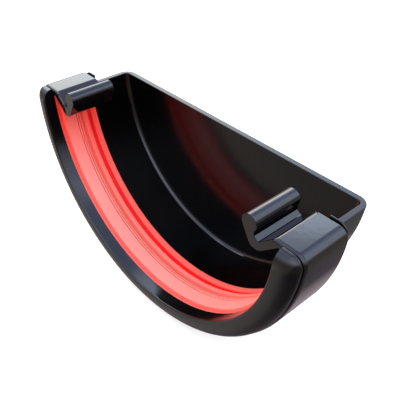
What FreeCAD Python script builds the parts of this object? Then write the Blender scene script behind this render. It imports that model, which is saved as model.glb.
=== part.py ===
import FreeCAD, Part
import math
import os

# Gutter end cap: closes the end of a half-round gutter.
# X runs across the gutter, +Y from the open mouth to the end wall, +Z up.
# The origin lies on the gutter's axis, where the gutter's end butts against the end wall.
# All lengths are in millimetres.

V = FreeCAD.Vector

# Gutter and the bore that takes it
gutter_radius = 62.5
slide_clearance = 0.4

# Trough and end wall
trough_length = 16.85
trough_wall = 2.35
end_wall = 2.5
end_fillet = 1.6
end_round = 5.0
round_steps = 5
rim_drop = 4.0

# Socket: collar at the mouth, channel for the strap, thin ridge behind it
socket_wall = 7.7
socket_top = -0.8
corner_radius = 3.9
collar_width = 4.25
nose_length = 3.9
nose_depth = 6.4
lip_bevel = 0.6
seam_gap = 0.35
rear_gap = 0.85
ridge_thickness = 0.75
ridge_drop = 0.7

# Strap that wraps the socket and ends in two hooks
strap_width = 19.55
strap_thickness = 2.2
strap_proud = 0.6
strap_clearance = 0.15
front_round = 1.5
back_bevel = 0.5
saddle_round = 0.4

# Hook: a slab slopes in and down from the saddle, turns, and rises to a round bead on a narrow neck
saddle_overhang = 3.7
slab_slope = 41.5
hook_wall = 2.8
hook_floor = 3.4
hook_bend = 3.6
notch_depth = 4.9
notch_width = 0.25
ledge_run = 1.65
ledge_rise = 1.15
neck_inset = 0.74
bead_radius = 3.0
bead_rise = 2.9

# Rubber seal in its groove
seal_front_inset = 0.7
seal_back_inset = 0.75
seal_thickness = 3.2
seal_clearance = 0.1
seal_squeeze = 0.3
seal_end_gap = 1.0
lip_width = 2.45
groove_width = 2.15
groove_depth = 1.8
rib_width = 2.3
rib_round = 0.3
ramp_width = 1.9
ramp_depth = 0.8
pad_start = 1.9
front_edge = 0.55
valley_depth = 0.35
valley_slope = 0.3
line_width = 0.4
line_depth = 0.35
line_inset = 0.2
line_spacing = 1.0

# Radii that follow from the sizes above
bore_radius = gutter_radius + slide_clearance
trough_radius = bore_radius + trough_wall
band_radius = bore_radius + socket_wall
strap_radius = band_radius + strap_proud
strap_inner = strap_radius - strap_thickness
channel_radius = strap_inner - strap_clearance
groove_radius = bore_radius + seal_thickness

# Places along the gutter, from the end wall to the mouth
ridge_back = -trough_length
ridge_front = ridge_back - ridge_thickness
strap_back = ridge_front - rear_gap
strap_front = strap_back - strap_width
collar_back = strap_front - seam_gap
mouth_y = collar_back - collar_width
seal_back = strap_back - seal_back_inset
seal_front = strap_front + seal_front_inset

# Heights
trough_top = socket_top - rim_drop
channel_top = socket_top - strap_thickness - strap_clearance


def face(edges):
    return Part.Face(Part.Wire(edges))


def line(a, b):
    return Part.makeLine(V(*a), V(*b))


def arc(a, m, b):
    return Part.Arc(V(*a), V(*m), V(*b)).toShape()


def box(x0, x1, y0, y1, z0, z1):
    return Part.makeBox(x1 - x0, y1 - y0, z1 - z0, V(x0, y0, z0))


def mirrored(shape):
    return shape.mirror(V(0, 0, 0), V(1, 0, 0))


def half_disc(radius, top, corner):
    """Half-round outline in the X-Z plane at y = 0, with rounded upper corners."""
    if corner <= 0:
        x = math.sqrt(radius ** 2 - top ** 2)
        return face([line((-x, 0, top), (x, 0, top)), arc((x, 0, top), (0, 0, -radius), (-x, 0, top))])
    # The corner circle touches the top line and the outer arc from inside.
    cz = top - corner
    cx = math.sqrt((radius - corner) ** 2 - cz ** 2)
    k = radius / (radius - corner)
    bx, bz = cx * k, cz * k
    t = 0.5 * (math.pi / 2 + math.atan2(cz, cx))
    mx, mz = cx + corner * math.cos(t), cz + corner * math.sin(t)
    return face([
        line((-cx, 0, top), (cx, 0, top)),
        arc((cx, 0, top), (mx, 0, mz), (bx, 0, bz)),
        arc((bx, 0, bz), (0, 0, -radius), (-bx, 0, bz)),
        arc((-bx, 0, bz), (-mx, 0, mz), (-cx, 0, top)),
    ])


def half_prism(radius, top, y0, y1, corner=0.0):
    f = half_disc(radius, top, corner)
    f.translate(V(0, y0, 0))
    return f.extrude(V(0, y1 - y0, 0))


def bore(y0, y1, radius=bore_radius):
    return Part.makeCylinder(radius, y1 - y0, V(0, y0, 0), V(0, 1, 0))


def ring_edges(solid, y, radius_over, radius_under):
    """Edges of a solid that lie in the plane at y, between two distances from the axis."""
    found = []
    for e in solid.Edges:
        bb = e.BoundBox
        if abs(bb.YMin - y) > 1e-4 or abs(bb.YMax - y) > 1e-4:
            continue
        a, b = e.FirstParameter, e.LastParameter
        on_edge = [e.valueAt(a + k * (b - a) / 4) for k in range(5)]
        r = [math.hypot(v.x, v.z) for v in on_edge]
        if min(r) > radius_over and max(r) < radius_under:
            found.append(e)
    return found


def narrowing(y_full, y_tip, full, tip):
    """Half-round block that narrows along a quarter of an oval.

    Both ends are given as radius, top and corner radius.
    """
    outlines = []
    for k in range(round_steps + 1):
        turn = 0.5 * math.pi * k / round_steps
        inward = 1 - math.cos(turn)
        radius, top, corner = [a + (b - a) * inward for a, b in zip(full, tip)]
        outline = half_disc(radius, top, corner)
        outline.translate(V(0, y_full + (y_tip - y_full) * math.sin(turn), 0))
        outlines.append(outline.OuterWire)
    return Part.makeLoft(outlines, True, True)


def make_trough():
    """Wall and end wall in one: a half bowl with a rounded back edge and a flat back."""
    round_start = end_wall - end_round
    outer = half_prism(trough_radius, trough_top, ridge_front, round_start)
    full = (trough_radius, trough_top, 0.0)
    tip = (trough_radius - end_round, trough_top, 0.0)
    outer = outer.fuse(narrowing(round_start, end_wall, full, tip))
    inner = bore(ridge_front - 1, 0)
    rim = [e for e in inner.Edges if abs(e.BoundBox.YMin) < 1e-4 and abs(e.BoundBox.YMax) < 1e-4]
    inner = inner.makeFillet(end_fillet, rim)
    return outer.cut(inner)


def make_collar():
    """Rounded collar at the mouth, domed over its upper ends."""
    nose_back = mouth_y + nose_length
    full = (band_radius, socket_top, corner_radius)
    tip = (band_radius - nose_depth, socket_top - nose_depth, lip_bevel)
    block = half_prism(band_radius, socket_top, nose_back, collar_back, corner_radius)
    block = block.fuse(narrowing(nose_back, mouth_y, full, tip))
    block = block.cut(bore(mouth_y - 1, collar_back + 1))
    lip = ring_edges(block, mouth_y, bore_radius - 0.1, bore_radius + 0.1)
    return block.makeChamfer(lip_bevel, lip)


def make_body():
    collar = make_collar()
    floor = half_prism(channel_radius, channel_top, collar_back, ridge_front)
    ridge = half_prism(band_radius - ridge_drop, socket_top, ridge_front, ridge_back, corner_radius)
    sleeve = floor.fuse(ridge).cut(bore(collar_back - 1, ridge_back + 1))
    body = make_trough().fuse([sleeve, collar])
    body = body.cut(bore(seal_front, seal_back, groove_radius))
    return body.removeSplitter()


def on_circle(centre, radius, towards):
    """Point of a circle in the direction of an angle, in radians."""
    return (centre[0] + radius * math.cos(towards), centre[1] + radius * math.sin(towards))


def make_hook():
    """Right-hand hook with the end of the saddle, its section extruded along the strap's width.

    The section is drawn as inward distance from the bore and height over the saddle.
    """
    slope = math.radians(slab_slope)
    along = (math.cos(slope), -math.sin(slope))
    under = (-math.sin(slope), -math.cos(slope))
    saddle_edge = (saddle_overhang, 0)
    notch = (saddle_overhang + notch_depth / math.tan(slope), -notch_depth)
    ledge = (notch[0] + notch_width, -notch_depth)
    neck = (ledge[0] + ledge_run, ledge[1] + ledge_rise)
    bead = (neck[0] + bead_radius - neck_inset, bead_rise - bead_radius)

    # The bend's circle touches the slab's underside and the lowest level of the hook.
    bend_up = hook_bend - notch_depth - hook_floor
    bend_in = saddle_overhang + (hook_bend - hook_wall - bend_up * math.cos(slope)) / math.sin(slope)
    bend = (bend_in, bend_up)
    slab_end = (bend[0] + hook_bend * under[0], bend[1] + hook_bend * under[1])
    foot = (saddle_overhang + hook_wall * under[0], hook_wall * under[1])
    run = (-strap_thickness - foot[1]) / along[1]
    under_start = (foot[0] + run * along[0], -strap_thickness)

    # The back is the common tangent of the bend's circle and the bead.
    lean = math.atan2(bead[1] - bend[1], bead[0] - bend[0])
    gap = math.hypot(bead[0] - bend[0], bead[1] - bend[1])
    side = lean - math.acos((hook_bend - bead_radius) / gap)
    back_start = on_circle(bend, hook_bend, side)
    back_end = on_circle(bead, bead_radius, side)
    neck_turn = math.pi + math.acos(1 - neck_inset / bead_radius)
    neck_top = on_circle(bead, bead_radius, neck_turn)
    bead_side = on_circle(bead, bead_radius, 0.5 * (side + neck_turn))
    bend_mid = on_circle(bend, hook_bend, 0.5 * (side + math.atan2(under[1], under[0])))

    def p(point):
        return (bore_radius - point[0], strap_front, socket_top + point[1])

    saddle_in = (-0.5 * strap_thickness, 0)
    saddle_under = (-0.5 * strap_thickness, -strap_thickness)
    section = face([
        line(p(saddle_under), p(under_start)),
        line(p(under_start), p(slab_end)),
        arc(p(slab_end), p(bend_mid), p(back_start)),
        line(p(back_start), p(back_end)),
        arc(p(back_end), p(bead_side), p(neck_top)),
        line(p(neck_top), p(neck)),
        line(p(neck), p(ledge)),
        line(p(ledge), p(notch)),
        line(p(notch), p(saddle_edge)),
        line(p(saddle_edge), p(saddle_in)),
        line(p(saddle_in), p(saddle_under)),
    ])
    return section.extrude(V(0, strap_width, 0))


def outside_edges(strap, y):
    """Edges over the band, its shoulders and its saddles, in the plane at y."""
    found = []
    for e in strap.Edges:
        bb = e.BoundBox
        middle = e.valueAt(0.5 * (e.FirstParameter + e.LastParameter))
        on_top = abs(bb.ZMin - socket_top) < 1e-4
        on_band = math.hypot(middle.x, middle.z) > strap_inner + 0.05
        if abs(bb.YMin - y) + abs(bb.YMax - y) < 1e-4 and (on_top or on_band):
            found.append(e)
    return found


def saddle_ends(strap):
    """Inner edges of the two saddles, where the slabs start."""
    saddle_x = bore_radius - saddle_overhang
    found = []
    for e in strap.Edges:
        bb = e.BoundBox
        level = abs(bb.ZMin - socket_top) + abs(bb.ZMax - socket_top) < 1e-3
        if level and bb.YMax - bb.YMin > 1 and abs(abs(bb.Center.x) - saddle_x) < 1e-3:
            found.append(e)
    return found


def make_strap():
    outer = half_prism(strap_radius, socket_top, strap_front, strap_back, corner_radius)
    inner = half_prism(strap_inner, socket_top - strap_thickness, strap_front - 1, strap_back + 1)
    opening_floor = socket_top - strap_thickness - 1
    opening = box(-bore_radius, bore_radius, strap_front - 1, strap_back + 1, opening_floor, socket_top + 1)
    band = outer.cut(inner).cut(opening)
    hook = make_hook()
    strap = band.fuse([hook, mirrored(hook)]).removeSplitter()
    strap = strap.makeFillet(front_round, outside_edges(strap, strap_front))
    strap = strap.makeChamfer(back_bevel, outside_edges(strap, strap_back))
    return strap.makeFillet(saddle_round, saddle_ends(strap))


def make_seal():
    """Rubber seal: front edge, valley, wide pad with two fine lines, ramp, low rib, groove and back lip."""
    tip = gutter_radius - seal_squeeze
    base = groove_radius - seal_clearance
    front = seal_front + seal_clearance
    back = seal_back - seal_clearance
    lip0 = back - lip_width
    groove0 = lip0 - groove_width
    rib0 = groove0 - rib_width
    ramp0 = rib0 - ramp_width
    line0 = ramp0 - line_inset
    line1 = line0 - line_spacing
    valley0 = front + front_edge
    pad0 = front + pad_start
    outline = [
        (base, front),
        (bore_radius, front),
        (bore_radius, valley0),
        (bore_radius + valley_depth, valley0 + valley_slope),
        (bore_radius + valley_depth, pad0 - valley_slope),
        (tip, pad0),
        (tip, line1 - line_width),
        (tip + line_depth, line1 - 0.5 * line_width),
        (tip, line1),
        (tip, line0 - line_width),
        (tip + line_depth, line0 - 0.5 * line_width),
        (tip, line0),
        (tip, ramp0),
        (tip + ramp_depth, rib0),
        (tip + rib_round, rib0 + rib_round),
        (tip, rib0 + 0.5 * rib_width),
        (tip + rib_round, groove0),
        (tip + groove_depth, groove0 + rib_round),
        (tip + groove_depth, lip0 - rib_round),
        (bore_radius, lip0),
        (bore_radius, back),
        (base, back),
    ]
    pts = [V(r, y, 0) for r, y in outline]
    profile = Part.Face(Part.makePolygon(pts + [pts[0]]))
    ring = profile.revolve(V(0, 0, 0), V(0, 1, 0), 360)
    top = channel_top - seal_end_gap
    return ring.common(box(-base - 1, base + 1, seal_front - 1, seal_back + 1, -base - 1, top))


def save(shape, name):
    solids = shape.Solids
    out = solids[0] if len(solids) == 1 else Part.makeCompound(solids)
    print(name, "solids", len(solids), "valid", shape.isValid(), "volume", round(shape.Volume, 1))
    out.exportStep("parts/%s.step" % name)


os.makedirs("parts", exist_ok=True)
save(make_body(), "body")
save(make_strap(), "strap")
save(make_seal(), "seal")
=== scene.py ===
import bpy
import bmesh
import math
from mathutils import Matrix, Vector


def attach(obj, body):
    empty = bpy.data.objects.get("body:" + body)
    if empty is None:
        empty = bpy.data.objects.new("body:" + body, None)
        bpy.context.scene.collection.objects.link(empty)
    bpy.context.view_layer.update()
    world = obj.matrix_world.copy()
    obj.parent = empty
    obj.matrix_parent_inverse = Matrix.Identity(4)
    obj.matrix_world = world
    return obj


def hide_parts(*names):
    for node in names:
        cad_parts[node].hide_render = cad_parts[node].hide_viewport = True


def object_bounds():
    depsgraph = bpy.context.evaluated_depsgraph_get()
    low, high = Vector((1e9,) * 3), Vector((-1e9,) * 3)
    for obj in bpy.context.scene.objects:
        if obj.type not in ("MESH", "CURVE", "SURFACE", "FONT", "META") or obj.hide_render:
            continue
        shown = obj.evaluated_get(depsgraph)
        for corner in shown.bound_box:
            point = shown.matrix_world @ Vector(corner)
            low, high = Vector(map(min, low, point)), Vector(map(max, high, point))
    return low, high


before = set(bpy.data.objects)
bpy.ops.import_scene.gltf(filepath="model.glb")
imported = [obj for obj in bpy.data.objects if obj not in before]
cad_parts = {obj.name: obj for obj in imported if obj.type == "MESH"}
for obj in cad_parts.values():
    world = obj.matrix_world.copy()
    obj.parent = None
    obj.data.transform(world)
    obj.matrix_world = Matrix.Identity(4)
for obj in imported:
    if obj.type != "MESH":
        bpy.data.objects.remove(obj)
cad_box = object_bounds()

# Gutter end cap. X runs across the gutter, +Y from the open mouth to the end wall, +Z up.
# The pieces are drawn in millimetres on the gutter's axis and brought to metres when they are finished.
MM = 0.001

# Gutter, trough and end wall
gutter_radius = 62.5
slide_clearance = 0.4
trough_length = 16.85
trough_wall = 2.35
end_wall = 2.5
end_fillet = 1.6
end_round = 5.0
rim_drop = 4.0

# Socket, collar and ridge
socket_wall = 7.7
socket_top = -0.8
corner_radius = 3.9
collar_width = 4.25
nose_length = 3.9
nose_depth = 6.4
lip_round = 0.75
tip_corner = 0.25
seam_gap = 0.35
rear_gap = 0.85
ridge_thickness = 0.75
ridge_drop = 0.7

# Strap and its hooks
strap_width = 19.55
strap_thickness = 2.2
strap_proud = 0.6
strap_clearance = 0.15
front_round = 1.5
band_round = 0.35
back_round = 0.7
saddle_overhang = 3.7
slab_slope = 41.5
hook_wall = 2.8
hook_floor = 3.4
hook_bend = 3.6
notch_depth = 4.9
notch_width = 0.25
ledge_run = 1.65
ledge_rise = 1.15
neck_inset = 0.74
bead_radius = 3.0
bead_rise = 2.9

# Seal
seal_front_inset = 0.7
seal_back_inset = 0.75
seal_thickness = 3.2
seal_clearance = 0.1
seal_squeeze = 0.3
seal_end_gap = 1.0
seal_proud = 0.05
seal_rounding = 0.09
lip_width = 2.45
groove_width = 2.15
groove_depth = 1.8
groove_slope = 0.3
rib_width = 2.3
rib_edge_depth = 0.5
rib_shoulder = 0.2
ramp_width = 1.9
ramp_depth = 0.8
pad_start = 1.9
front_edge = 0.55
valley_depth = 0.35
valley_slope = 0.3
line_width = 0.4
line_depth = 1.3
line_inset = 0.2
line_spacing = 1.0

# The rib's crest has a fine line in it: depth below the tip, and distance behind the ramp.
rib_crest = ((0.3, 0.25), (0.12, 0.7), (0.12, 1.05), (0.4, 1.2), (0.12, 1.35))

bore_radius = gutter_radius + slide_clearance
trough_radius = bore_radius + trough_wall
band_radius = bore_radius + socket_wall
strap_radius = band_radius + strap_proud
strap_inner = strap_radius - strap_thickness
channel_radius = strap_inner - strap_clearance
groove_radius = bore_radius + seal_thickness
seal_tip = gutter_radius - seal_squeeze
ridge_back = -trough_length
ridge_front = ridge_back - ridge_thickness
strap_back = ridge_front - rear_gap
strap_front = strap_back - strap_width
collar_back = strap_front - seam_gap
mouth_y = collar_back - collar_width
seal_back = strap_back - seal_back_inset
seal_front = strap_front + seal_front_inset
trough_top = socket_top - rim_drop
channel_top = socket_top - strap_thickness - strap_clearance

# Every round of the bore turns in the same steps, so that neighbours meet without a line.
bore_land = 5.2
half_turn_steps = 60
spare_steps = 2
land_angle = math.asin(bore_land / bore_radius)
turn = (math.pi / 2 - land_angle) / half_turn_steps

# Steps of the other rounds
side_steps = 72
shoulder_steps = 10
nose_steps = 12
rim_steps = 6
bend_steps = 12
bead_steps = 28
fillet_steps = 6
end_round_steps = 9

# Widest edge rounding; each edge takes its own share of it.
widest_rounding = 0.6
saddle_rounding = 0.6
thin_wall_rounding = 0.3
fine_rounding = 0.2

# How close points are to count as one place, to be welded, to be cut and to lie on the bore
same_place = 1e-3
weld_distance = 1e-4
cut_distance = 1e-5
bore_slack = 0.05


# Drawing

def blank():
    """An empty drawing whose edges can carry a share of the finishing bevel."""
    bm = bmesh.new()
    bm.edges.layers.float.new("bevel_weight_edge")
    return bm


class Pen:
    """Draws an outline in the upright plane at one y, in straight runs and arcs."""

    def __init__(self, bm, x, y, z):
        self.bm = bm
        self.y = y
        self.at = bm.verts.new((x, y, z))

    def run(self, x, z):
        end = self.bm.verts.new((x, self.y, z))
        self.bm.edges.new((self.at, end))
        self.at = end

    def arc(self, centre, angle, steps):
        """Swings on about a centre; a positive angle goes from +X towards +Z."""
        swept = bmesh.ops.spin(
            self.bm, geom=[self.at], cent=(centre[0], self.y, centre[1]), axis=(0, 1, 0),
            angle=-angle, steps=steps, use_merge=False, use_duplicate=False)
        self.at = next(v for v in swept["geom_last"] if isinstance(v, bmesh.types.BMVert))

    def arc_to(self, centre, end, steps, clockwise=False):
        """Swings about a centre until it points at the end."""
        start = math.atan2(self.at.co.z - centre[1], self.at.co.x - centre[0])
        stop = math.atan2(end[1] - centre[1], end[0] - centre[0])
        angle = (stop - start) % (2 * math.pi)
        if clockwise:
            angle -= 2 * math.pi
        self.arc(centre, angle, steps)


def shoulder(pen, radius, top, corner):
    """From the top flat over a rounded corner and down the outside to the lowest point."""
    z = top - corner
    x = math.sqrt((radius - corner) ** 2 - z ** 2)
    outward = radius / (radius - corner)
    pen.run(x, top)
    pen.arc_to((x, z), (x * outward, z * outward), shoulder_steps, clockwise=True)
    pen.arc_to((0, 0), (0, -radius), side_steps, clockwise=True)


def socket_outline(bm, y, radius, top, corner, bore=bore_radius):
    """Right half of the socket's ring at y: up the bore, over the rim and down the outside."""
    pen = Pen(bm, 0, y, -bore)
    land = math.asin((bore_land + socket_top - top) / bore)
    pen.arc((0, 0), math.pi / 2 - land, half_turn_steps)
    pen.run(math.sqrt(bore ** 2 - top ** 2), top)
    shoulder(pen, radius, top, corner)


def quarter_round(steps):
    """Steps of a quarter round, as two shares: how far it has come, and how far it has left to go."""
    angles = [0.5 * math.pi * k / steps for k in range(steps + 1)]
    return [(1 - math.cos(angle), 1 - math.sin(angle)) for angle in angles]


def through_outlines(bm, places):
    """Mirrors the half outlines, joins each to the next and closes both ends."""
    bmesh.ops.mirror(bm, geom=bm.verts[:] + bm.edges[:], axis="X", merge_dist=weld_distance)
    bmesh.ops.remove_doubles(bm, verts=bm.verts, dist=weld_distance)
    for y0, y1 in zip(places, places[1:]):
        bmesh.ops.bridge_loops(bm, edges=pick(bm, at_y(y0)) + pick(bm, at_y(y1)))
    for y in (places[0], places[-1]):
        bmesh.ops.edgeloop_fill(bm, edges=pick(bm, at_y(y)))
    bmesh.ops.recalc_face_normals(bm, faces=bm.faces)


def draw_profile(points, closed=True):
    """Joins (radius, y) points by straight edges, ready to be spun about the gutter's axis."""
    bm = blank()
    corners = [bm.verts.new((radius, y, 0)) for radius, y in points]
    for a, b in zip(corners, corners[1:]):
        bm.edges.new((a, b))
    if closed:
        bm.edges.new((corners[-1], corners[0]))
    return bm


def corner_at(bm, radius, y):
    """The corner of a drawn profile at a radius and y, in a list."""
    return [v for v in bm.verts if (v.co - Vector((radius, y, 0))).length < same_place]


def round_corners(bm, corners, rounding, steps, clamp=False):
    bmesh.ops.bevel(
        bm, geom=corners, offset=rounding, segments=steps, profile=0.5,
        affect="VERTICES", clamp_overlap=clamp, material=-1)


def spun(bm, top):
    """Spins a drawn profile round the bore and cuts it off level at the top."""
    start = land_angle - spare_steps * turn
    steps = 2 * (half_turn_steps + spare_steps)
    geometry = bm.verts[:] + bm.edges[:]
    bmesh.ops.rotate(bm, verts=bm.verts, cent=(0, 0, 0), matrix=Matrix.Rotation(start, 3, "Y"))
    bmesh.ops.spin(
        bm, geom=geometry, cent=(0, 0, 0), axis=(0, 1, 0),
        angle=steps * turn, steps=steps, use_merge=False)
    bmesh.ops.bisect_plane(
        bm, geom=bm.verts[:] + bm.edges[:] + bm.faces[:], dist=cut_distance,
        plane_co=(0, 0, top), plane_no=(0, 0, 1), clear_outer=True)
    bmesh.ops.remove_doubles(bm, verts=bm.verts, dist=weld_distance)
    bmesh.ops.edgeloop_fill(bm, edges=[e for e in bm.edges if e.is_boundary])
    bmesh.ops.recalc_face_normals(bm, faces=bm.faces)
    return bm


def pick(bm, test):
    """Edges whose two ends both pass the test."""
    return [e for e in bm.edges if all(test(v.co) for v in e.verts)]


def at_y(y):
    return lambda co: abs(co.y - y) < same_place


def reach(co):
    """Distance from the gutter's axis."""
    return math.hypot(co.x, co.z)


def on_bore(co):
    return abs(reach(co) - bore_radius) < bore_slack


def off_bore(edges):
    """The edges that don't lie on the bore."""
    return [e for e in edges if not all(on_bore(v.co) for v in e.verts)]


def crisp(edge):
    """True for an edge that turns by more than 30 degrees."""
    return len(edge.link_faces) == 2 and edge.calc_face_angle(0) > math.radians(30)


def soften(bm, edges, rounding):
    """Gives edges their share of the piece's finishing bevel."""
    share = bm.edges.layers.float["bevel_weight_edge"]
    for e in edges:
        e[share] = rounding / widest_rounding


def put_in(bm, other):
    """Adds a finished part of a piece to another."""
    mesh = bpy.data.meshes.new("part")
    other.to_mesh(mesh)
    other.free()
    bm.from_mesh(mesh)
    bpy.data.meshes.remove(mesh)


def finish_piece(name, bm, node, slot, *materials):
    """Turns a drawn piece into an object with softened edges and its finishes."""
    share = bm.edges.layers.float["bevel_weight_edge"]
    for e in bm.edges:
        e.smooth = not (crisp(e) and e[share] == 0)
    for f in bm.faces:
        f.smooth = True
    bmesh.ops.scale(bm, vec=(MM, MM, MM), verts=bm.verts)
    mesh = bpy.data.meshes.new(name)
    bm.to_mesh(mesh)
    bm.free()
    piece = bpy.data.objects.new(name, mesh)
    bpy.context.scene.collection.objects.link(piece)
    for material in materials:
        mesh.materials.append(material)
    edge = piece.modifiers.new("edge_rounding", "BEVEL")
    edge.limit_method = "WEIGHT"
    edge.width = widest_rounding * MM
    edge.segments = 3
    edge.use_clamp_overlap = False
    flat = piece.modifiers.new("flat_faces", "WEIGHTED_NORMAL")
    flat.keep_sharp = True
    flat.weight = 60
    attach(piece, "root")
    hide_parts(node)
    return piece


# Body

def make_collar():
    """Rounded collar at the mouth: its front narrows along a quarter of an oval, rounded into the bore."""
    bm = blank()
    places = [collar_back]
    socket_outline(bm, collar_back, band_radius, socket_top, corner_radius)
    for inward, left in quarter_round(nose_steps):
        places.append(mouth_y + nose_length * left)
        corner = corner_radius + (tip_corner - corner_radius) * inward
        into_lip = max(0, lip_round + mouth_y - places[-1])
        bore = bore_radius + lip_round - math.sqrt(lip_round ** 2 - into_lip ** 2)
        top = socket_top - nose_depth * inward
        socket_outline(bm, places[-1], band_radius - nose_depth * inward, top, corner, bore)
    through_outlines(bm, places)
    soften(bm, off_bore(pick(bm, at_y(collar_back))), fine_rounding)
    return bm


def make_ridge():
    """Thin ridge behind the strap."""
    bm = blank()
    places = [ridge_front, ridge_back]
    for y in places:
        socket_outline(bm, y, band_radius - ridge_drop, socket_top, corner_radius)
    through_outlines(bm, places)
    for y in places:
        soften(bm, off_bore(pick(bm, at_y(y))), thin_wall_rounding)
    return bm


def make_sleeve():
    """Floor of the strap's channel, with the seal's groove on its inside."""
    bm = draw_profile([
        (bore_radius, collar_back),
        (channel_radius, collar_back),
        (channel_radius, ridge_front),
        (bore_radius, ridge_front),
        (bore_radius, seal_back),
        (groove_radius, seal_back),
        (groove_radius, seal_front),
        (bore_radius, seal_front),
    ])
    return spun(bm, channel_top)


def make_trough():
    """Thin wall and flat end wall in one, rounded inside and outside."""
    bm = draw_profile([
        (0, 0),
        (bore_radius, 0),
        (bore_radius, ridge_back),
        (trough_radius, ridge_back),
        (trough_radius, end_wall),
        (0, end_wall),
    ], closed=False)
    round_corners(bm, corner_at(bm, bore_radius, 0), end_fillet, fillet_steps)
    round_corners(bm, corner_at(bm, trough_radius, end_wall), end_round, end_round_steps)
    bm = spun(bm, trough_top)
    rim = [e for e in pick(bm, lambda co: abs(co.z - trough_top) < same_place) if crisp(e)]
    against_ridge = set(pick(bm, at_y(ridge_back)))
    soften(bm, [e for e in rim if e not in against_ridge], thin_wall_rounding)
    return bm


def make_body(outside, inside, land):
    """Collar, channel floor, ridge and trough as one piece.

    The trough's inside is duller up to its fillet, and also darker and less shiny, painted shade; the land
    of the bore in front of the seal is duller too.
    """
    bm = make_collar()
    put_in(bm, make_sleeve())
    put_in(bm, make_ridge())
    put_in(bm, make_trough())
    fillet_zone = 1.05 * end_fillet
    for f in bm.faces:
        middle = f.calc_center_median()
        end_face = f.normal.y > 0.99
        lengthwise = abs(f.normal.y) < 0.1
        in_trough = middle.y > seal_back and reach(middle) < bore_radius + bore_slack
        in_fillet = middle.y > -fillet_zone and reach(middle) > bore_radius - fillet_zone
        if in_trough and not in_fillet and not end_face:
            f.material_index = 1
        if middle.y < seal_front and on_bore(middle) and lengthwise:
            f.material_index = 2
    return finish_piece("moulded_body", bm, "body", "shell", outside, inside, land)


# Strap

def on_circle(centre, radius, towards):
    return centre[0] + radius * math.cos(towards), centre[1] + radius * math.sin(towards)


def draw_hook(pen, top_inset):
    """From under the saddle along the slab, round the bend, up to the bead and back to the saddle.

    The hook's points are worked out as distance inward from the bore and height over the saddle.
    """
    slope = math.radians(slab_slope)
    along = (math.cos(slope), -math.sin(slope))
    under = (-math.sin(slope), -math.cos(slope))
    saddle_edge = (saddle_overhang + top_inset / math.tan(slope), -top_inset)
    notch = (saddle_overhang + notch_depth / math.tan(slope), -notch_depth)
    ledge = (notch[0] + notch_width, -notch_depth)
    neck = (ledge[0] + ledge_run, ledge[1] + ledge_rise)
    bead = (neck[0] + bead_radius - neck_inset, bead_rise - bead_radius)
    bend_up = hook_bend - notch_depth - hook_floor
    bend_in = saddle_overhang + (hook_bend - hook_wall - bend_up * math.cos(slope)) / math.sin(slope)
    bend = (bend_in, bend_up)
    slab_end = (bend[0] + hook_bend * under[0], bend[1] + hook_bend * under[1])
    foot = (saddle_overhang + hook_wall * under[0], hook_wall * under[1])
    start = (-strap_thickness - foot[1]) / along[1]
    under_start = (foot[0] + start * along[0], -strap_thickness)
    lean = math.atan2(bead[1] - bend[1], bead[0] - bend[0])
    gap = math.hypot(bead[0] - bend[0], bead[1] - bend[1])
    side = lean - math.acos((hook_bend - bead_radius) / gap)
    back_start = on_circle(bend, hook_bend, side)
    back_end = on_circle(bead, bead_radius, side)
    neck_top = on_circle(bead, bead_radius, math.pi + math.acos(1 - neck_inset / bead_radius))

    def placed(point):
        return bore_radius - point[0], socket_top + point[1]

    pen.run(*placed(under_start))
    pen.run(*placed(slab_end))
    pen.arc_to(placed(bend), placed(back_start), bend_steps, clockwise=True)
    pen.run(*placed(back_end))
    pen.arc_to(placed(bead), placed(neck_top), bead_steps, clockwise=True)
    pen.run(*placed(neck))
    pen.run(*placed(ledge))
    pen.run(*placed(notch))
    pen.run(*placed(saddle_edge))
    return placed(neck_top), placed(neck), placed(notch)


def strap_outline(bm, y, top_inset, band_inset):
    """Right half of the strap's section at y, drawn in a little over the saddle and down the outside."""
    pen = Pen(bm, 0, y, -strap_inner)
    under = socket_top - strap_thickness
    inner_end = (math.sqrt(strap_inner ** 2 - under ** 2), under)
    pen.arc_to((0, 0), inner_end, side_steps)
    corners = draw_hook(pen, top_inset)
    corner = corner_radius - 0.5 * (top_inset + band_inset)
    shoulder(pen, strap_radius - band_inset, socket_top - top_inset, corner)
    return corners


def on_saddle_edge(co):
    """True along the saddle's inner edge, also where the rims draw it in."""
    down = socket_top - co.z
    x = bore_radius - saddle_overhang - down / math.tan(math.radians(slab_slope))
    return down < front_round + same_place and abs(abs(co.x) - x) < same_place


def make_strap(outside, recess):
    """One band round the socket, from hook to hook, rounded along its front and back rims.

    The narrow faces of the neck, between bead and ledge, take a darker, duller copy of the black, painted
    shade.
    """
    bm = blank()
    places = []
    for along, left in quarter_round(rim_steps):
        places.append(strap_front + front_round * along)
        strap_outline(bm, places[-1], front_round * left, band_round * left)
    for along, left in reversed(quarter_round(rim_steps)):
        places.append(strap_back - back_round * along)
        corners = strap_outline(bm, places[-1], back_round * left, back_round * left)
    through_outlines(bm, places)
    for y in (strap_front, strap_back):
        soften(bm, [e for e in pick(bm, at_y(y)) if crisp(e)], fine_rounding)
    for x, z in corners:
        line = pick(bm, lambda co: abs(abs(co.x) - x) < same_place and abs(co.z - z) < same_place)
        soften(bm, line, fine_rounding)
    soften(bm, pick(bm, on_saddle_edge), saddle_rounding)
    neck_top, neck = corners[:2]
    for f in bm.faces:
        middle = f.calc_center_median()
        if neck[1] < middle.z < neck_top[1] and abs(abs(middle.x) - neck[0]) < same_place:
            f.material_index = 1
    return finish_piece("hook_strap", bm, "strap", "strap", outside, recess)


# Seal

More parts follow.
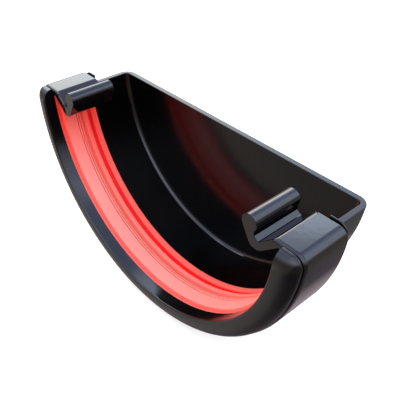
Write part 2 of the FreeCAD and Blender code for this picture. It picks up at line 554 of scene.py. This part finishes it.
def make_seal(material):
    """Rubber strip in the inner groove: front pad, fine double line, ramp, rib, deep groove and back lip."""
    tip = seal_tip
    edge = bore_radius - seal_proud
    valley = bore_radius + valley_depth
    base = groove_radius - seal_clearance
    front = seal_front + seal_clearance
    back = seal_back - seal_clearance

    # Where each form starts, counted from the back
    lip0 = back - lip_width
    groove0 = lip0 - groove_width
    rib0 = groove0 - rib_width
    ramp0 = rib0 - ramp_width
    line0 = ramp0 - line_inset
    line1 = line0 - line_spacing

    # And from the front
    valley0 = front + front_edge
    pad0 = front + pad_start
    bm = draw_profile([
        (base, front),
        (edge, front),
        (edge, valley0),
        (valley, valley0 + valley_slope),
        (valley, pad0 - valley_slope),
        (tip, pad0),
        (tip, line1 - line_width),
        (tip + line_depth, line1 - 0.5 * line_width),
        (tip, line1),
        (tip, line0 - line_width),
        (tip + line_depth, line0 - 0.5 * line_width),
        (tip, line0),
        (tip, ramp0),
        (tip + ramp_depth, rib0),
        *[(tip + depth, rib0 + way) for depth, way in rib_crest],
        (tip + rib_shoulder, groove0 - groove_slope),
        (tip + rib_edge_depth, groove0),
        (tip + groove_depth, groove0 + groove_slope),
        (tip + groove_depth, lip0 - groove_slope),
        (edge, lip0),
        (edge, back),
        (base, back),
    ])
    round_corners(bm, bm.verts[:], seal_rounding, 2, clamp=True)
    bm = spun(bm, channel_top - seal_end_gap)
    return finish_piece("rubber_seal", bm, "seal", "seal", material)


# Nodes

def nodes_of(material):
    material.use_nodes = True
    tree = material.node_tree
    shader = next(n for n in tree.nodes if n.type == "BSDF_PRINCIPLED")
    return tree, shader


def add_node(tree, kind, at, **values):
    """A node with its settings and input values; an underscore in a name stands for a space."""
    node = tree.nodes.new(kind)
    node.location = at
    for key, value in values.items():
        if hasattr(node, key):
            setattr(node, key, value)
        else:
            node.inputs[key.replace("_", " ")].default_value = value
    return node


def feed(tree, entry, value):
    """Links an output to an input, or sets the input to a constant."""
    if isinstance(value, bpy.types.NodeSocket):
        tree.links.new(value, entry)
    else:
        entry.default_value = value


def combined(tree, at, operation, first, second):
    """Adds, multiplies or scales vectors, or keeps the larger parts of two."""
    node = add_node(tree, "ShaderNodeVectorMath", at, operation=operation)
    feed(tree, node.inputs[0], first)
    feed(tree, node.inputs["Scale"] if operation == "SCALE" else node.inputs[1], second)
    return node.outputs["Vector"]


def spread_over(tree, at, value, low, high, to_low=0.0, to_high=1.0, **settings):
    """Carries a value from one range over to another."""
    node = add_node(
        tree, "ShaderNodeMapRange", at,
        From_Min=low, From_Max=high, To_Min=to_low, To_Max=to_high, **settings)
    tree.links.new(value, node.inputs["Value"])
    return node.outputs["Result"]


def noise(tree, at, place, scale, detail, roughness):
    node = add_node(tree, "ShaderNodeTexNoise", at, Scale=scale, Detail=detail, Roughness=roughness)
    tree.links.new(place, node.inputs["Vector"])
    return node.outputs["Fac"]


def coloured(tree, at, value, stops):
    """Gives a value the colours of a ramp, whose stops are position and colour."""
    node = add_node(tree, "ShaderNodeValToRGB", at)
    elements = node.color_ramp.elements
    while len(elements) < len(stops):
        elements.new(0.5)
    for element, (where, colour) in zip(elements, stops):
        element.position = where
        element.color = tuple(colour) + (1,)
    tree.links.new(value, node.inputs["Fac"])
    return node.outputs["Color"]


def add_bump(tree, shader, height, strength, distance):
    """Gives the shader a fine bump."""
    bump = add_node(tree, "ShaderNodeBump", (-300, -300), Strength=strength, Distance=distance)
    tree.links.new(height, bump.inputs["Height"])
    tree.links.new(bump.outputs["Normal"], shader.inputs["Normal"])


# Finishes

# Most of a noise's values lie between these two.
noise_range = (0.3, 0.7)


def glossy_black(name, base, roughness, spread, shine=0.5):
    """Injection-moulded black plastic: high gloss, faint flow marks, fine handling scuffs."""
    material = bpy.data.materials.new(name)
    tree, shader = nodes_of(material)
    shader.inputs["IOR"].default_value = 1.5
    shader.inputs["Specular IOR Level"].default_value = shine
    place = add_node(tree, "ShaderNodeTexCoord", (-1300, 0)).outputs["Object"]

    flow = noise(tree, (-1000, 300), place, scale=70.0, detail=3.0, roughness=0.55)
    darker = [0.75 * c for c in base]
    lighter = [1.25 * c for c in base]
    tint = coloured(tree, (-500, 500), flow, ((0.3, darker), (0.75, lighter)))
    tree.links.new(tint, shader.inputs["Base Color"])

    stretch = add_node(tree, "ShaderNodeMapping", (-1150, -50), Scale=(1.0, 9.0, 1.0))
    tree.links.new(place, stretch.inputs["Vector"])
    streaks = noise(tree, (-950, 0), stretch.outputs["Vector"], scale=900.0, detail=4.0, roughness=0.65)
    scuffs = coloured(tree, (-750, 0), streaks, ((0.56, (0, 0, 0)), (0.78, (1, 1, 1))))
    gloss = spread_over(tree, (-750, 300), flow, *noise_range, roughness - spread, roughness + spread)
    scuffing = 0.05
    worn = add_node(tree, "ShaderNodeMath", (-500, 200), operation="MULTIPLY_ADD")
    for entry, value in zip(worn.inputs, (scuffs, scuffing, gloss)):
        feed(tree, entry, value)
    tree.links.new(worn.outputs["Value"], shader.inputs["Roughness"])

    skin = noise(tree, (-950, -400), place, scale=420.0, detail=2.0, roughness=0.5)
    add_bump(tree, shader, skin, strength=0.03, distance=0.0004)
    return material


def red_rubber():
    """Soft red rubber with painted sheen and shade: paler on the raised bands and low down, deeper red in
    the grooves and up the sides.
    """
    painted_sheen_depth = 2.0
    brightest_sheen_height = -44
    faintest_sheen_height = -12
    faintest_sheen_share = 0.4
    patchiness = 0.94
    material = bpy.data.materials.new("red_rubber")
    tree, shader = nodes_of(material)
    shader.inputs["IOR"].default_value = 1.5
    shader.inputs["Specular IOR Level"].default_value = 0.3
    place = add_node(tree, "ShaderNodeTexCoord", (-1500, 0)).outputs["Object"]
    clouds = noise(tree, (-1000, 300), place, scale=110.0, detail=4.0, roughness=0.6)

    across = combined(tree, (-1300, 700), "MULTIPLY", place, (1, 0, 1))
    from_axis = add_node(tree, "ShaderNodeVectorMath", (-1150, 700), operation="LENGTH")
    tree.links.new(across, from_axis.inputs[0])
    # Paler pink towards the seal's tip is painted sheen on the raised faces; the pure red deeper down in the
    # grooves is painted shade.
    depth = spread_over(
        tree, (-1000, 700), from_axis.outputs["Value"], seal_tip * MM, (seal_tip + painted_sheen_depth) * MM)
    painted_sheen_by_depth = coloured(tree, (-800, 700), depth, (
        (0.00, (0.97, 0.275, 0.200)),
        (0.15, (0.96, 0.135, 0.090)),
        (0.35, (0.96, 0.135, 0.090)),
        (0.52, (0.95, 0.100, 0.075)),
        (0.70, (0.94, 0.004, 0.003)),
        (0.90, (0.92, 0.001, 0.001)),
    ))
    patchy = spread_over(tree, (-800, 400), clouds, *noise_range, patchiness, 1.0)
    tint = combined(tree, (-500, 600), "SCALE", painted_sheen_by_depth, patchy)

    # Painted sheen: the seal is paler low down and fades to deeper red up the sides.
    height = add_node(tree, "ShaderNodeSeparateXYZ", (-1300, 950))
    tree.links.new(place, height.inputs["Vector"])
    painted_sheen_low_down = spread_over(
        tree, (-800, 950), height.outputs["Z"],
        brightest_sheen_height * MM, faintest_sheen_height * MM, 1.0, faintest_sheen_share)
    keep_red = add_node(tree, "ShaderNodeCombineXYZ", (-500, 950), X=1.0)
    tree.links.new(painted_sheen_low_down, keep_red.inputs["Y"])
    tree.links.new(painted_sheen_low_down, keep_red.inputs["Z"])
    colour = combined(tree, (-300, 700), "MULTIPLY", tint, keep_red.outputs["Vector"])
    tree.links.new(colour, shader.inputs["Base Color"])

    gloss = spread_over(tree, (-600, 100), clouds, *noise_range, 0.36, 0.48)
    tree.links.new(gloss, shader.inputs["Roughness"])
    grain = noise(tree, (-900, -300), place, scale=3500.0, detail=3.0, roughness=0.6)
    add_bump(tree, shader, grain, strength=0.08, distance=0.0001)
    return material


# Studio

# The camera's place in metres, and its turn in degrees.
camera_place = (0.13413, -0.13617, 0.10655)
camera_dip = 34.86
camera_turn = 49.42
floor_gap = 0.0002
floor_half = 3.0

# Each light: bearing and lift of its middle, the angles out to which it is full and gone, all in degrees,
# and its colour. Bearings turn from +X towards +Y, so the camera stands at about -45.
soft_lights = (
    (145, 43, 2, 18, (1.1, 1.2, 1.3)),
    (135, 20, 4, 9, (1.8, 1.3, 0.8)),
    (50, 34, 14, 20, (0.85, 1.0, 1.15)),
    (72, 50, 6, 14, (0.6, 0.7, 0.9)),
    (-165, 48, 6, 20, (1.8, 1.8, 1.6)),
    (101, -53, 2, 13, (0.27, 0.23, 0.24)),
    (139, -14, 14, 34, (0.40, 0.32, 0.30)),
    (126, 42, 4, 9, (0.5, 0.6, 0.6)),
    (-139, -35, 15, 45, (0.31, 0.28, 0.25)),
    (-50, 62, 4, 46, (1.15, 1.06, 0.97)),
)
window_panes = (
    (178, 34, 7, 13, (3.0, 2.9, 2.5)),
    (165, 29, 8, 13, (3.5, 3.5, 3.1)),
    (153, 23, 7, 13, (3.5, 3.6, 3.3)),
    (144, 24, 7, 12, (3.5, 3.6, 3.4)),
    (136, 25, 7, 12, (3.2, 3.4, 3.4)),
    (128, 27, 7, 11, (2.7, 3.0, 3.3)),
    (121, 31, 7, 11, (1.8, 2.1, 2.5)),
    (115, 15, 6, 12, (2.6, 2.7, 2.7)),
)

# The shade takes a share of everything behind it, so its colour is below zero.
shade = (-20, -25, 35, 58, (-0.55, -0.57, -0.60))

# Light from all round, by height, from straight down at 0 to straight up at 1.
dome_brightest = 3.0
dome_stops = (
    (0.00, (0.18, 0.15, 0.16)),
    (0.12, (0.20, 0.17, 0.20)),
    (0.23, (0.38, 0.35, 0.31)),
    (0.36, (0.50, 0.44, 0.39)),
    (0.50, (0.52, 0.45, 0.43)),
    (0.56, (0.60, 0.55, 0.53)),
    (0.62, (0.95, 0.95, 1.00)),
    (0.71, (1.50, 1.62, 1.95)),
    (0.80, (1.60, 1.85, 2.50)),
    (0.88, (1.20, 1.42, 2.15)),
    (0.96, (1.05, 1.20, 1.80)),
    (1.00, (1.00, 1.10, 1.60)),
)


def add_camera():
    data = bpy.data.cameras.new("camera")
    data.sensor_width = 36.0
    data.lens = 51.6
    data.shift_x = 0.0455
    data.shift_y = -0.0718
    data.clip_start = 0.005
    camera = bpy.data.objects.new("camera", data)
    camera.location = camera_place
    camera.rotation_euler = (math.radians(90 - camera_dip), 0, math.radians(camera_turn))
    bpy.context.scene.collection.objects.link(camera)
    bpy.context.scene.camera = camera


def add_floor():
    bm = bmesh.new()
    bmesh.ops.create_grid(bm, x_segments=1, y_segments=1, size=floor_half)
    bmesh.ops.translate(bm, verts=bm.verts, vec=(0, 0, cad_box[0][2] - floor_gap))
    mesh = bpy.data.meshes.new("floor")
    bm.to_mesh(mesh)
    bm.free()
    floor = bpy.data.objects.new("floor", mesh)
    bpy.context.scene.collection.objects.link(floor)
    material = bpy.data.materials.new("pale_floor")
    shader = nodes_of(material)[1]
    shader.inputs["Base Color"].default_value = (0.66, 0.62, 0.54, 1)
    shader.inputs["Roughness"].default_value = 0.9
    shader.inputs["Emission Color"].default_value = (1.0, 0.98, 0.94, 1)
    shader.inputs["Emission Strength"].default_value = 0.55
    mesh.materials.append(material)
    floor.visible_glossy = False


def round_light(tree, direction, bearing, lift, full, edge, colour):
    """A round patch of light, full inside one angle and gone outside another."""
    az, el = math.radians(bearing), math.radians(lift)
    aim = (math.cos(az) * math.cos(el), math.sin(az) * math.cos(el), math.sin(el))
    towards = add_node(tree, "ShaderNodeVectorMath", (-1100, -200), operation="DOT_PRODUCT")
    feed(tree, towards.inputs[0], direction)
    feed(tree, towards.inputs[1], aim)
    fade = spread_over(
        tree, (-850, -200), towards.outputs["Value"],
        math.cos(math.radians(edge)), math.cos(math.radians(full)), interpolation_type="SMOOTHSTEP")
    return combined(tree, (-600, -200), "SCALE", colour, fade)


def light_studio():
    """Soft light from all round and over the camera, a window behind the end wall and a dark side.

    The dark side is low down on the camera's right. The window's panes overlap, so each spot of it
    takes the strongest of them, and the other lights add up.
    """
    world = bpy.data.worlds.new("studio")
    world.use_nodes = True
    tree = world.node_tree
    background = tree.nodes["Background"]
    background.inputs["Strength"].default_value = 1.0
    direction = add_node(tree, "ShaderNodeTexCoord", (-1300, 0)).outputs["Object"]

    height = add_node(tree, "ShaderNodeSeparateXYZ", (-1100, 200))
    tree.links.new(direction, height.inputs["Vector"])
    rise = spread_over(tree, (-900, 200), height.outputs["Z"], -1.0, 1.0)
    stops = [(where, [c / dome_brightest for c in colour]) for where, colour in dome_stops]
    dome = coloured(tree, (-700, 200), rise, stops)
    total = combined(tree, (-450, 200), "SCALE", dome, dome_brightest)

    for light in soft_lights:
        total = combined(tree, (-250, 0), "ADD", total, round_light(tree, direction, *light))
    window = round_light(tree, direction, *window_panes[0])
    for pane in window_panes[1:]:
        window = combined(tree, (-250, 0), "MAXIMUM", window, round_light(tree, direction, *pane))
    total = combined(tree, (-250, 0), "ADD", total, window)

    left_over = combined(tree, (-250, -300), "ADD", (1, 1, 1), round_light(tree, direction, *shade))
    total = combined(tree, (-50, 0), "MULTIPLY", total, left_over)
    tree.links.new(total, background.inputs["Color"])
    bpy.context.scene.world = world
    bpy.context.scene.view_settings.view_transform = "Standard"


# One plastic with one polish outside, and less of it in the trough, on the land and in the hooks' necks; in
# the trough and the necks it is also darker and less shiny, painted shade.
deep_black = (0.0020, 0.0019, 0.0020)
painted_shade_black = (0.0008, 0.0007, 0.0008)
strap_black = (0.0022, 0.0021, 0.0023)
make_body(
    glossy_black("black_moulding", deep_black, 0.05, 0.015),
    glossy_black("black_inside_painted_shade", painted_shade_black, 0.15, 0.03, shine=0.25),
    glossy_black("black_land", deep_black, 0.13, 0.03))
make_strap(
    glossy_black("black_strap", strap_black, 0.05, 0.015),
    glossy_black("black_recess_painted_shade", painted_shade_black, 0.40, 0.05, shine=0.05))
make_seal(red_rubber())
add_floor()
add_camera()
light_studio()
